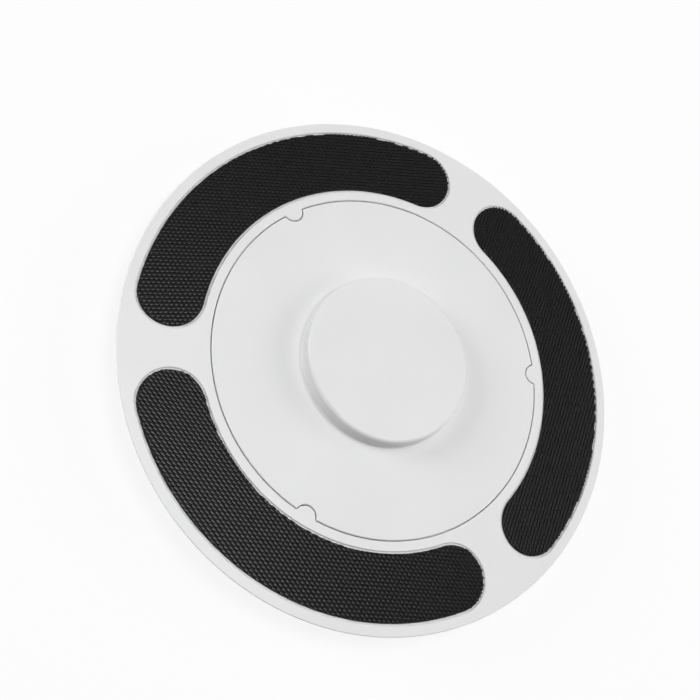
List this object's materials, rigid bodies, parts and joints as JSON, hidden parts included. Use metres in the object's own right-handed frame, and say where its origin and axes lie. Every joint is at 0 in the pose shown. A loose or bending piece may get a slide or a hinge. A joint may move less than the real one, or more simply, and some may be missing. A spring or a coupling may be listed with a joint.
{
  "type": "robot vacuum mop bracket",
  "caption": "Round white mop bracket for a floor-cleaning robot: plate with black hook pads in arc recesses, flush keyed centre cover with a raised boss, hexagonal drive socket behind.",
  "frame": {"origin": "centre of the hub's end face, on the axis that the plate spins about", "axes": "+Z along the spin axis, from the robot side to the hook side; +X through the middle of hook_pad_1"},
  "size_m": [0.15, 0.15, 0.015],
  "materials": {
    "white_plastic": "fine matt moulded white",
    "hook_tape": "black moulded nylon hooks",
    "magnet_nickel": "nickel plated",
    "screw_steel": "zinc plated"
  },
  "bodies": {
    "root": {"carrier_plate": "white_plastic", "centre_cover": "white_plastic", "hook_pad_1": "hook_tape", "hook_pad_2": "hook_tape", "hook_pad_3": "hook_tape", "drive_magnet": "magnet_nickel", "cover_screws": "screw_steel"}
  },
  "joints": []
}
